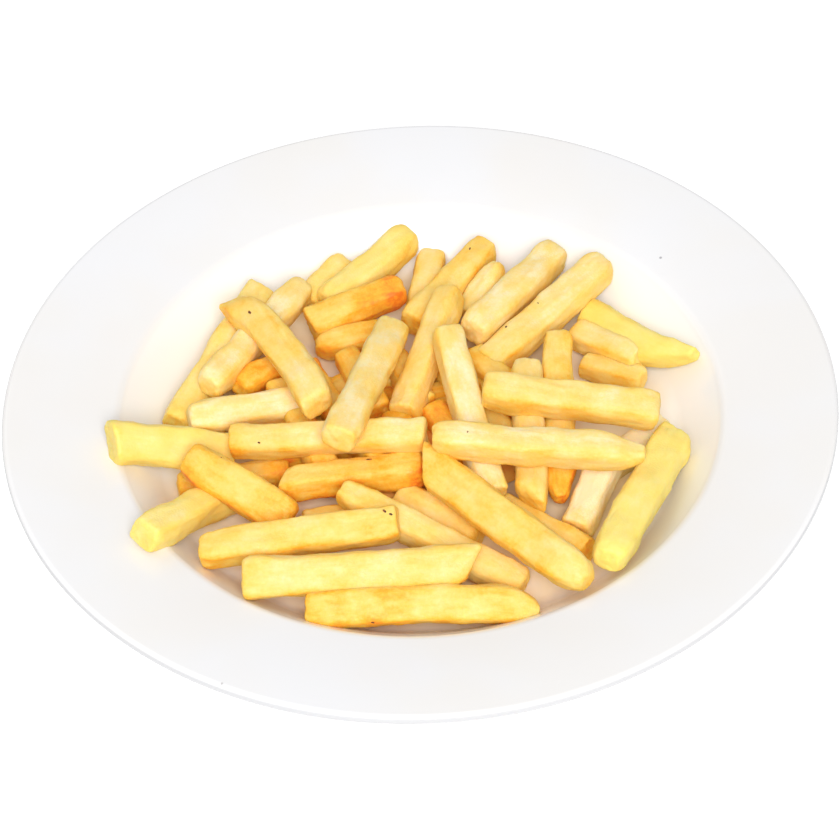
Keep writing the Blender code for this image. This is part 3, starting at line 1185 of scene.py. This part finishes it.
@dataclass
class FryHeap:
    """All the fries, laid in layers and joined kind by kind."""

    fries: list[Fry]

    def build(self) -> dict[Kind, Piece]:
        """Make each fry and join those of a kind.

        Returns:
            The joined object of each kind.
        """
        cutter = FryCutter()
        made: dict[Kind, list[Piece]] = {}
        for fry in self.fries:
            piece = cutter.finish(fry, cutter.draw(fry))
            made.setdefault(fry.kind, []).append(piece)
        cutter.put_away()
        return {kind: join_pieces(pieces, kind.value) for kind, pieces in made.items()}

    def dress(self, joined: dict[Kind, Piece]) -> None:
        """Give every kind the fried skin and set it in the heap's place."""
        skin = FriedPotato().material()
        for piece in joined.values():
            stand_in(piece, skin, HEAP_NODE)


@dataclass(frozen=True)
class Crumb:
    """One burnt speck: a point near it and its length, millimetres."""

    near: Point
    size: float


@dataclass
class BurntSpecks:
    """Dark specks of burnt skin that lie on the fries."""

    crumbs: tuple[Crumb, ...] = (
        Crumb((-60.5, 40.5, 39), 1.8),
        Crumb((-58.0, -21.7, 36), 1.3),
        Crumb((-13.5, -61.0, 38), 1.8),
        Crumb((-11.5, -62.3, 38), 1.2),
        Crumb((-18.7, -26.4, 29), 2.0),
        Crumb((32.4, 37.6, 33), 1.2),
        Crumb((22.2, 82.1, 29), 1.3),
        Crumb((16.6, -32.0, 47), 0.9),
        Crumb((-19.4, -102.8, 24), 1.3),
        Crumb((-70.0, -30.0, 38), 0.8),
        Crumb((46.0, 48.0, 31), 0.8),
    )
    width_share: float = 0.5
    flatness: float = 0.25
    ragged: Span = (0.8, 0.45)

    def build(self, fries: list[Piece]) -> Piece:
        """Press each speck flat onto the nearest skin.

        Args:
            fries: The pieces that the specks may lie on.

        Returns:
            The joined specks.
        """
        made = []
        for index, crumb in enumerate(self.crumbs):
            near = Vector(crumb.near) * MM
            found = [fry.closest_point_on_mesh(near) for fry in fries]
            _, place, facing, _ = min(found, key=lambda hit: (hit[1] - near).length)
            deselect_all()
            bpy.ops.mesh.primitive_ico_sphere_add(
                subdivisions=3, radius=crumb.size * MM / 2, location=place,
                rotation=facing.to_track_quat("Z", "Y").to_euler(),
                scale=(1.0, self.width_share, self.flatness))
            speck = bpy.context.object
            speck.name = f"speck_{index}"
            apply_place()
            add_relief(speck, "ragged_specks", *self.ragged)
            apply_modifiers(speck)
            bpy.ops.object.shade_smooth()
            made.append(speck)
        return join_pieces(made, "burnt_specks")

    def dress(self, specks: Piece) -> None:
        """Blacken the specks and set them in the heap's place."""
        stand_in(specks, BURNT_POTATO.material(), HEAP_NODE)


@dataclass
class HeapCore:
    """The smaller mound of packed potato that fills the heap under the fries.

    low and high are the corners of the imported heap's box, in metres, and the
    shares are the mound's part of that box.
    """

    low: Vector
    high: Vector
    width_share: float = 0.5
    depth_share: float = 0.34
    height_share: float = 0.22
    lumps: Span = (9.0, 3.0)
    lumps_mid_level: float = 0.75
    smooth_angle: float = 60.0

    def build(self) -> Piece:
        """Make the mound: the upper half of a flattened ball with an uneven skin.

        Returns:
            The core's object.
        """
        size = self.high - self.low
        centre = (self.low + self.high) / 2
        bottom = self.low.z + MM
        deselect_all()
        bpy.ops.mesh.primitive_uv_sphere_add(segments=40, ring_count=20, radius=0.5,
                                             location=(centre.x, centre.y, bottom))
        core = bpy.context.object
        core.name = "heap_core"
        core.scale = (size.x * self.width_share, size.y * self.depth_share,
                      2 * size.z * self.height_share)
        apply_place()
        bpy.ops.object.mode_set(mode="EDIT")
        bpy.ops.mesh.select_all(action="SELECT")
        bpy.ops.mesh.bisect(plane_co=(0, 0, bottom), plane_no=(0, 0, 1), use_fill=True,
                            clear_inner=True)
        bpy.ops.object.mode_set(mode="OBJECT")
        add_relief(core, "core_lumps", *self.lumps, mid_level=self.lumps_mid_level)
        apply_modifiers(core)
        bpy.ops.object.shade_smooth_by_angle(angle=math.radians(self.smooth_angle))
        return core

    def dress(self, core: Piece) -> None:
        """Colour the core and set it in the heap's place."""
        stand_in(core, SHADED_POTATO.material(), HEAP_NODE)


@dataclass(frozen=True)
class Lamp:
    """A soft square lamp that faces the plate.

    toward is the direction from the plate to the lamp; distance and the side
    of its square are in metres, and its power is in watts.
    """

    name: str
    toward: Point
    distance: float
    side: float
    power: float


@dataclass
class Studio:
    """A pale floor, soft lights and the camera that looks down on the plate.

    Lengths are in metres and angles in degrees; the lens and its sensor are in
    millimetres.
    """

    target: Point = (0.0, -0.0156, 0.036)
    distance: float = 1.0
    elevation: float = 45.42
    tilt: float = -2.733
    lens: float = 120.5
    sensor: float = 36.0
    floor_size: float = 6.0
    floor_drop: float = 0.0001
    sky: float = 0.49
    lamps: tuple[Lamp, ...] = (
        Lamp("key_lamp", (-0.45, 0.5, 0.74), 1.3, 1.0, 2.0),
        Lamp("fill_lamp", (0.04, -0.71, 0.7), 2.2, 1.0, 41.0),
    )

    def build_floor(self) -> None:
        """Make the floor just under the foot ring."""
        deselect_all()
        bpy.ops.mesh.primitive_grid_add(x_subdivisions=4, y_subdivisions=4, size=self.floor_size,
                                        location=(0.0, 0.0, -self.floor_drop))
        floor = bpy.context.object
        floor.name = "studio_floor"
        apply_place()
        floor.data.materials.append(StudioWhite().material())

    def build_lamp(self, lamp: Lamp) -> None:
        """Hang a lamp so that it faces the plate.

        Args:
            lamp: The lamp's place, size and power.
        """
        light = bpy.data.lights.new(lamp.name, "AREA")
        light.shape = "SQUARE"
        light.size = lamp.side
        light.energy = lamp.power
        holder = bpy.data.objects.new(lamp.name, light)
        bpy.context.scene.collection.objects.link(holder)
        direction = Vector(lamp.toward).normalized()
        holder.location = direction * lamp.distance
        holder.rotation_euler = direction.to_track_quat("Z", "Y").to_euler()

    def build_sky(self) -> None:
        """Fill the studio with even white light."""
        world = bpy.data.worlds.new("studio_sky")
        world.use_nodes = True
        background = world.node_tree.nodes["Background"]
        background.inputs["Color"].default_value = (1.0, 1.0, 1.0, 1.0)
        background.inputs["Strength"].default_value = self.sky
        bpy.context.scene.world = world

    def build_camera(self) -> None:
        """Set up the camera, turned a little about its own line of sight."""
        rise = math.radians(self.elevation)
        back = Vector((0.0, -math.cos(rise), math.sin(rise)))
        lens = bpy.data.cameras.new("studio_camera")
        lens.lens = self.lens
        lens.sensor_width = self.sensor
        camera = bpy.data.objects.new("studio_camera", lens)
        bpy.context.scene.collection.objects.link(camera)
        level = back.to_track_quat("Z", "Y").to_matrix()
        tilt = Matrix.Rotation(math.radians(self.tilt), 3, "Z")
        place = Matrix.Translation(Vector(self.target) + back * self.distance)
        camera.matrix_world = place @ (level @ tilt).to_4x4()
        bpy.context.scene.camera = camera

    def build(self) -> None:
        """Set up the whole studio."""
        self.build_camera()
        self.build_floor()
        self.build_sky()
        for lamp in self.lamps:
            self.build_lamp(lamp)
        bpy.context.scene.view_settings.view_transform = "Standard"


def report(piece: Piece) -> None:
    """Log a piece's name and how many triangles it has."""
    piece.data.calc_loop_triangles()
    LOG.info("%s: %d triangles", piece.name, len(piece.data.loop_triangles))


def main() -> None:
    """Build the studio, the plate and the heap in order."""
    logging.basicConfig(level=logging.INFO, format="%(name)s: %(message)s")
    Studio().build()
    plate_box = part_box(PLATE_NODE)
    plate_maker = Plate(radius=plate_box[1].x / MM, rim_height=plate_box[1].z / MM)
    plate = plate_maker.build()
    plate_maker.dress(plate)
    report(plate)
    core_maker = HeapCore(*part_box(HEAP_NODE))
    core = core_maker.build()
    core_maker.dress(core)
    report(core)
    heap = FryHeap([*FRIES, *BuriedLayers().fries()])
    joined = heap.build()
    heap.dress(joined)
    speck_maker = BurntSpecks()
    specks = speck_maker.build(list(joined.values()))
    speck_maker.dress(specks)
    for piece in (*joined.values(), specks):
        report(piece)


if __name__ == "__main__":
    main()
